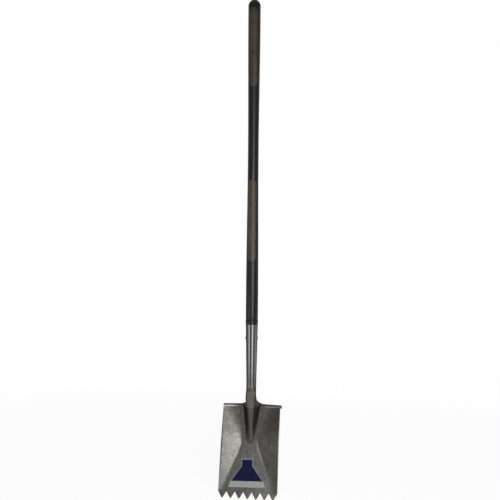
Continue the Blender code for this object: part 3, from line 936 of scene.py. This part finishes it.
# Pressed steel: dark and mottled on the blade, dull at the neck, rubbed bright up the socket; painted
# shade on the frog, the right panel, the neck's sides and the tread, painted highlights on the frog's top
# and the step's bend
steel = {
    "dark": (0.046, 0.0450, 0.0412),
    "light": (0.071, 0.0695, 0.0630),
    "rubbed": (0.066, 0.066, 0.063),
    "scale": (0.0225, 0.0202, 0.0170),      # painted shade laid on the frog, the right panel, the neck and the tread
    "strip": (0.077, 0.0725, 0.0635),
    "neck": (0.074, 0.065, 0.057),
    # pale tone of the painted highlight on the step's bend
    "wearAndHighlight": (0.30, 0.295, 0.280),
    "blotches": (95.0, 4.0, 0.55),          # a noise's scale, detail, roughness and stretch
    "cloud": (28.0, 3.0, 0.5),
    "streaks": (60.0, 5.0, 0.6, (6.0, 1.0, 0.5)),
    "speck": (700.0, 2.0, 0.5),
    "toneShares": (0.45, 0.25, 0.30),       # of blotches, cloud and streaks
    "toneRange": (0.38, 0.62),
    # Marks over the two tones, in the order in which they are laid on: a mark's tone, its share,
    # and where it starts to show and where it is full, by a distance that is named further down
    "marks": {
        "socket": ("rubbed", 0.85, [("height", 0.315, 0.345)]),
        # painted shade: the frog's steep sides darkened
        "flanks": ("scale", 0.55, [("strip", 0.0, 0.003), ("foot", 0.0045, -0.0005),
                                   ("crease", -0.001, 0.004), ("height", 0.285, 0.268)]),
        # painted shade: a dark lane round the frog's nose and its tip
        "nose": ("scale", 0.75, [("foot", 0.0040, 0.0), ("side", 0.002, 0.007),
                                 ("crease", -0.005, 0.003), ("crease", 0.018, 0.010)]),
        "noseTip": ("scale", 0.80, [("side", 0.0125, 0.0065), ("crease", -0.0082, -0.0042),
                                    ("crease", 0.0015, -0.0025)]),
        # painted shade: the right panel darker than the left
        "rightPanel": ("scale", 0.57, [("right", 0.015, 0.050), ("up", 0.16, 0.24)]),
        # painted shade: the plateau darkening towards the frog's foot
        "besideFrog": ("scale", 0.50, [("foot", 0.026, 0.002), ("strip", 0.0, 0.003),
                                       ("crease", -0.005, 0.004)]),
        # painted highlight: a lighter tone down the frog's flat top
        "frogTop": ("strip", 0.75, [("strip", 0.002, -0.001), ("crease", -0.002, 0.010),
                                    ("height", 0.290, 0.270)]),
        # painted shadow: the left flank's shade reaching onto the flat top
        "frogLeft": ("scale", 0.75, [("leftEdge", -0.001, 0.0), ("leftEdge", 0.0065, 0.0010),
                                     ("crease", 0.002, 0.012), ("height", 0.290, 0.276)]),
        "neck": ("neck", 0.80, [("height", 0.262, 0.275), ("height", 0.345, 0.315)]),
        # painted shade: the neck's sides darkened, as on a rounded front
        "neckSides": ("scale", 0.55, [("side", 0.0080, 0.0125), ("height", 0.278, 0.292),
                                      ("height", 0.345, 0.320)]),
        # painted shade: a dark band where the socket turns into the neck
        "neckTurn": ("scale", 0.55, [("height", 0.3125, 0.3225), ("height", 0.3325, 0.3225)]),
        # painted shade: the tread and its lip darkened
        "tread": ("scale", 0.25, [("height", 0.2625, 0.2645), ("side", 0.018, 0.030)]),
    },
    "grime": [("strip", 0.0, 0.002), ("foot", 0.0050, 0.0015), ("crease", -0.003, 0.0)],
    # painted highlight on the step's bend: where it lies, its strength at the right, how much more at the
    # left, and the blotches that break it up
    "bend": [("edge", -0.0036, -0.0024), ("edge", 0.0020, 0.0008), ("side", 0.036, 0.064)],
    "bendHighlight": 0.24,                       # at the right
    "bendHighlightMore": 0.50,                   # how much more at the left
    "bendSide": (0.03, -0.04),
    "bendBlotches": (0.2, 0.5),
    "bladeRoughness": 0.27,
    "socketRoughness": 0.17,
    "streakGloss": 0.10,
    "speckGloss": 0.03,
    "socketStreakGloss": 0.05,
    "dulled": {"neck": 0.38, "tread": 0.22, "grime": 0.22},
    "bumpShares": (0.06, 0.25, 0.9),        # of speck, streaks and blotches
    "socketSmoothing": 0.95,
    "bump": (0.2, 0.0004),
}
pressed = Finish("pressedSteel", {"Metallic": 0.95, "Specular IOR Level": 0.3,
                                  "Specular Tint": (0.45, 0.45, 0.45)})
x, y, z = pressed.x, pressed.y, pressed.z
side = abs(x)
up = (y - tipsY) * math.sin(head["lean"]) + z * math.cos(head["lean"])
crease = head["bladeLength"] - ridgeHeight(head["bladeLength"]) / math.tan(head["lean"])
stripLine = head["stripHalf"] - (head["bladeLength"] - up) * head["stripTaper"]
stripLine = stripLine.atLeast(head["stripLeast"])
rise = ((up - crease) / (head["bladeLength"] - crease)).atLeast(0.0)
footLine = stripLine + rise ** head["wallPower"] * head["wallRun"]
distances = {
    "right": x,
    "side": side,
    "up": up,
    "height": z,
    "edge": up - head["bladeLength"],       # past the blade's top edge
    "crease": up - crease,                  # past the point where the frog starts
    "strip": side - stripLine,              # out from the frog's flat top
    "foot": side - footLine,                # out from the frog's foot
    "leftEdge": x + stripLine,              # in from the left edge of the flat top
}
blotches = pressed.noise(*steel["blotches"])
cloud = pressed.noise(*steel["cloud"])
streaks = pressed.noise(*steel["streaks"])
speck = pressed.noise(*steel["speck"])
ofBlotches, ofCloud, ofStreaks = steel["toneShares"]
tone = (blotches * ofBlotches + cloud * ofCloud + streaks * ofStreaks).over(*steel["toneRange"])
body = pressed.mix(tone, steel["dark"], steel["light"])
masks = {"grime": covered(distances, steel["grime"])}
# the marks go on in order; besides the socket's and the neck's own tones they are painted shade, with a
# painted highlight on the frog's top
for name, (colour, share, limits) in steel["marks"].items():
    masks[name] = covered(distances, limits)
    body = pressed.mix(masks[name] * share, body, steel[colour])
# painted highlight along the step's bend, stronger at the left and broken up by the blotches
bendHighlight = x.over(*steel["bendSide"]) * steel["bendHighlightMore"] + steel["bendHighlight"]
bendHighlight = bendHighlight * blotches.over(*steel["bendBlotches"]) * covered(distances, steel["bend"])
pressed.set("Base Color", pressed.mix(bendHighlight, body, steel["wearAndHighlight"]))
onSocket = masks["socket"]
bladeGloss = steel["bladeRoughness"] + streaks.swing(steel["streakGloss"])
bladeGloss = bladeGloss + speck.swing(steel["speckGloss"])
socketGloss = steel["socketRoughness"] + streaks.swing(steel["socketStreakGloss"])
gloss = bladeGloss * (1.0 - onSocket) + socketGloss * onSocket
for name, amount in steel["dulled"].items():
    gloss = gloss + masks[name] * amount
pressed.set("Roughness", gloss)
ofSpeck, ofStreaks, ofBlotches = steel["bumpShares"]
height = speck * ofSpeck + streaks * ofStreaks + blotches * ofBlotches
pressed.bump(height * (1.0 - onSocket * steel["socketSmoothing"]), *steel["bump"])
pressed.dress(headPiece)

# Rivet: plain bright steel, lightly turned
rivetSteel = {
    "dark": (0.12, 0.115, 0.105),
    "light": (0.24, 0.235, 0.22),
    "grain": (900.0, 3.0, 0.6),
    "range": (0.35, 0.7),
    "roughness": 0.37,
    "glossSwing": 0.3,
    "bump": (0.2, 0.0002),
}
turned = Finish("rivetSteel", {"Metallic": 1.0})
turned.bump(turned.mottle(rivetSteel), *rivetSteel["bump"])
turned.dress(rivetPiece)

# Jacket: black moulded skin with long faint draw marks and a fine grain
skin = {
    "dark": (0.0012, 0.0012, 0.0014),
    "rubbed": (0.0035, 0.0035, 0.0038),
    "draw": (90.0, 4.0, 0.6, (3.0, 3.0, 0.12)),
    "grain": (1400.0, 2.0, 0.6),
    "rubs": (14.0, 4.0, 0.6),
    "shares": (0.5, 0.5),                   # of draw marks and rubs
    "range": (0.40, 0.66),
    "held": [("height", 0.96, 1.02), ("height", 1.30, 1.22)],     # the stretch between the grips
    "roughness": 0.30,
    "heldGloss": 0.06,
    "drawGloss": 0.3,
    "grainGloss": 0.15,
    "grainHeight": 0.4,
    "bump": (0.22, 0.00025),
}
sleeve = Finish("jacketSkin", {"Specular IOR Level": 0.155})
draw = sleeve.noise(*skin["draw"])
grain = sleeve.noise(*skin["grain"])
rubs = sleeve.noise(*skin["rubs"])
held = covered({"height": sleeve.z}, skin["held"])
ofDraw, ofRubs = skin["shares"]
shade = (draw * ofDraw + rubs * ofRubs).over(*skin["range"])
sleeve.set("Base Color", sleeve.mix(shade, skin["dark"], skin["rubbed"]))
gloss = skin["roughness"] + held * skin["heldGloss"]
sleeve.set("Roughness", gloss + draw.swing(skin["drawGloss"]) + grain.swing(skin["grainGloss"]))
sleeve.bump(grain * skin["grainHeight"] + draw, *skin["bump"])
sleeve.dress(jacketPiece)

# Grips: soft brown pads with a fine pebbled face and a dusty mottle, the lower pair paler
rubber = {
    "upper": (0.0165, 0.0110, 0.0058),
    "lower": (0.0235, 0.0155, 0.0110),
    "dust": (0.076, 0.058, 0.046),
    "between": (1.00, 1.26),                # heights of the lower and the upper tint
    "dustGrain": (45.0, 4.0, 0.6),
    "dustRange": (0.35, 0.7),
    "dustShare": 0.20,
    "dustHeight": 0.4,
    "pebbles": 750.0,
    "pebbleSmoothness": 0.6,
    "roughness": 0.47,
    "dustGloss": 0.16,
    "bump": (0.5, 0.0003),
}
soft = Finish("gripRubber", {"Specular IOR Level": 0.17})
dusty = soft.noise(*rubber["dustGrain"]).over(*rubber["dustRange"])
tint = soft.mix(soft.z.over(*rubber["between"]), rubber["lower"], rubber["upper"])
soft.set("Base Color", soft.mix(dusty * rubber["dustShare"], tint, rubber["dust"]))
soft.set("Roughness", rubber["roughness"] + dusty.swing(rubber["dustGloss"]))
values = {"Vector": soft.place, "Scale": rubber["pebbles"], "Smoothness": rubber["pebbleSmoothness"]}
pebbles = soft.node("ShaderNodeTexVoronoi", {"feature": "SMOOTH_F1"}, values)
soft.bump(dusty * rubber["dustHeight"] - pebbles, *rubber["bump"])
soft.dress(*padPieces)

# Cap: a rougher black than the jacket's, finely pitted
capBlack = {
    "dark": (0.0015, 0.0015, 0.0015),
    "light": (0.006, 0.006, 0.006),
    "grain": (120.0, 4.0, 0.65),
    "range": (0.45, 0.75),
    "roughness": 0.50,
    "glossSwing": 0.3,
    "pits": (1100.0, 3.0, 0.6),
    "grainHeight": 0.8,
    "bump": (0.3, 0.0002),
}
capFinish = Finish("capPlastic", {"Specular IOR Level": 0.08})
scuffs = capFinish.mottle(capBlack)
pits = capFinish.noise(*capBlack["pits"])
capFinish.bump(pits + scuffs * capBlack["grainHeight"], *capBlack["bump"])
capFinish.dress(capPiece)

# Collar: black, smudged a little olive
collarBlack = {
    "dark": (0.0020, 0.0020, 0.0017),
    "light": (0.007, 0.007, 0.0055),
    "grain": (170.0, 4.0, 0.65),
    "range": (0.40, 0.65),
    "roughness": 0.34,
    "glossSwing": 0.3,
    "bump": (0.3, 0.0003),
}
collarFinish = Finish("collarPlastic", {"Specular IOR Level": 0.13})
collarFinish.bump(collarFinish.mottle(collarBlack), *collarBlack["bump"])
collarFinish.dress(collarPiece)

# Label: printed film, a pale border and foot, a deep blue field
film = Finish("labelFilm", {"Specular IOR Level": 0.035, "Roughness": 0.42})
x, y, z = film.x, film.y, film.z
u = x - label["centreX"]
v = (y - tipsY) * math.sin(head["lean"]) + z * math.cos(head["lean"]) - labelMiddle
across = abs(u * labelCos + v * labelSin)
up = v * labelCos - u * labelSin + label["height"] / 2
slope = (label["kneeHalf"] - label["neckHalf"]) / flareHeight
half = (flareTop - up).atLeast(0.0) * slope + (label["neckHalf"] - label["borderWidth"])
soften = label["printEdge"]
aboveBand = (up - label["bandHeight"]).over(-soften, soften)
blue = (half - across).over(-soften, soften) * aboveBand
blue = blue * (label["height"] - label["topBorder"] - up).over(-soften, soften)
wear = film.noise(*label["wear"])
# rubbed patches of the print
wearAndHighlight = wear.over(*label["wearRange"]) * label["wearShare"]
pale = film.mix(aboveBand, label["foot"], label["border"])
film.set("Base Color", film.mix(wearAndHighlight, film.mix(blue, pale, label["blue"]), label["rubbed"]))
film.bump(wear, *label["bump"])
film.dress(labelPiece)

# Core and dowel, inside the jacket and the socket
rod = {
    "dark": (0.42, 0.37, 0.20),
    "light": (0.60, 0.55, 0.34),
    "grain": (260.0, 4.0, 0.6, (3.0, 3.0, 0.05)),
    "range": (0.35, 0.65),
    "roughness": 0.42,
    "glossSwing": 0.3,
    "bump": (0.2, 0.0002),
}
glass = Finish("fibreglassRod", {"Specular IOR Level": 0.5})
glass.bump(glass.mottle(rod), *rod["bump"])
ash = {
    "early": (0.58, 0.40, 0.22),
    "late": (0.42, 0.26, 0.13),
    "pore": (0.25, 0.15, 0.08),
    "growth": (240.0, 4.0, 0.55, (1.0, 1.0, 0.08), 0.6),
    "growthRange": (0.35, 0.65),
    "pores": (900.0, 3.0, 0.6, (1.0, 1.0, 0.04)),
    "poreRange": (0.58, 0.70),
    "poreShare": 0.5,
    "roughness": 0.60,
    "poreGloss": 0.2,
    "bump": (0.3, 0.0002),
}
wood = Finish("ashWood", {"Specular IOR Level": 0.4})
growth = wood.noise(*ash["growth"])
pores = wood.noise(*ash["pores"])
rings = wood.mix(growth.over(*ash["growthRange"]), ash["early"], ash["late"])
wood.set("Base Color", wood.mix(pores.over(*ash["poreRange"]) * ash["poreShare"], rings, ash["pore"]))
wood.set("Roughness", ash["roughness"] + pores.swing(ash["poreGloss"]))
wood.bump(pores, *ash["bump"])
for node, finish in (("handle_core", glass), ("core_dowel", wood)):
    for materialSlot in bpy.data.objects[node].material_slots:
        materialSlot.material = finish.material
print("finishes:", len(bpy.data.materials))


# Floor, surroundings, lamps and camera
studio = {
    "floorRadius": 6.0,
    "floorSides": 128,
    "floorTone": (0.90, 0.90, 0.90),
    "fade": (0.4, 2.5),                     # distances between which the floor turns white
    "nearGlow": 0.90,
    "ambient": 0.15,
    # azimuth, distance, height, the height it aims at, (width, height), radiance
    "lamps": {
        "frontPanel": (11.0, 2.6, 0.96, 0.15, (0.95, 1.12), 9.5),
        "rightPanel": (24.0, 1.6, 0.73, 0.73, (0.66, 1.42), 8.6),
        "leftPanel": (-45.0, 1.6, 0.26, 0.26, (0.72, 0.48), 5.4),
        "sidePanel": (100.0, 1.6, 0.17, 0.17, (1.25, 0.30), 1.9),
        "backPanel": (180.0, 2.2, 0.95, 0.60, (1.10, 1.30), 2.6),
        "topPanel": (0.0, 0.4, 3.2, 0.0, (2.0, 2.0), 1.6),
    },
}
view = {
    "distance": 2.2,                        # from the handle's axis
    "turn": math.radians(8.6),              # the tool's right side is the nearer one
    "height": 0.757,
    "slide": -0.0077,
    "roll": math.radians(0.50),
    "lens": 50.61,
}
white = (1.0, 1.0, 1.0)
circle = [2 * math.pi * k / studio["floorSides"] for k in range(studio["floorSides"])]
points = [studio["floorRadius"] * Vector((math.cos(a), math.sin(a), 0.0)) for a in circle]
floor = addObject("studioFloor", points, [list(range(len(points)))])
ground = Finish("studioPaper", {"Roughness": 0.9, "Base Color": studio["floorTone"]})
ground.dress(floor)
away = ground.node("ShaderNodeVectorMath", {"operation": "LENGTH"}, {0: ground.place}, "Value")


def seenRays(graph):
    # 1 for rays that look, bounce off a gloss or pass through, 0 for the light that rays carry
    path = graph.node("ShaderNodeLightPath", output=None)
    camera, glossy, through = (Wire(graph, path.outputs[f"Is {kind} Ray"])
                               for kind in ("Camera", "Glossy", "Transmission"))
    return camera + glossy + through


glow = studio["nearGlow"] + away.over(*studio["fade"]) * (1 - studio["nearGlow"])
emitted = ground.node("ShaderNodeEmission", inputs={"Color": white, "Strength": 1.0})
paper = Wire(ground, ground.shader.outputs["BSDF"])
blend = ground.node("ShaderNodeMixShader", inputs={0: glow * seenRays(ground), 1: paper, 2: emitted})
ground.feed(ground.tree.nodes["Material Output"].inputs["Surface"], blend)

world = bpy.data.worlds.new("studioAir")
world.use_nodes = True
bpy.context.scene.world = world
air = Graph(world.node_tree)
background = air.tree.nodes["Background"]
air.feed(background.inputs["Color"], white)
strength = studio["ambient"] + seenRays(air) * (1 - studio["ambient"])
air.feed(background.inputs["Strength"], strength)


def lamp(name, azimuth, distance, height, aimHeight, size, radiance):
    # a soft panel around the tool, turned to face its axis at the aim's height
    light = bpy.data.lights.new(name, "AREA")
    light.shape = "RECTANGLE"
    light.size, light.size_y = size
    light.energy = radiance * math.pi * size[0] * size[1]
    made = bpy.data.objects.new(name, light)
    bpy.context.scene.collection.objects.link(made)
    a = math.radians(azimuth)
    made.location = (distance * math.sin(a), axisY - distance * math.cos(a), height)
    facing = made.location - Vector((0.0, axisY, aimHeight))
    made.rotation_euler = facing.to_track_quat("Z", "Y").to_euler()
    made.visible_camera = False


for name, settings in studio["lamps"].items():
    lamp(name, *settings)

lens = bpy.data.cameras.new("photoCamera")
camera = bpy.data.objects.new("photoCamera", lens)
bpy.context.scene.collection.objects.link(camera)
lens.lens = view["lens"]
turn, roll = view["turn"], view["roll"]
right = Vector((math.cos(turn), math.sin(turn), 0.0))
forward = Vector((-math.sin(turn), math.cos(turn), 0.0))
above = Vector((0.0, 0.0, 1.0))
place = Vector((0.0, axisY, view["height"])) - forward * view["distance"] + right * view["slide"]
tiltedRight = right * math.cos(roll) + above * math.sin(roll)
tiltedUp = above * math.cos(roll) - right * math.sin(roll)
columns = Matrix((tiltedRight, tiltedUp, -forward)).transposed()
camera.matrix_world = Matrix.Translation(place) @ columns.to_4x4()
bpy.context.scene.camera = camera
bpy.context.scene.view_settings.view_transform = "Standard"

print("studio ready")
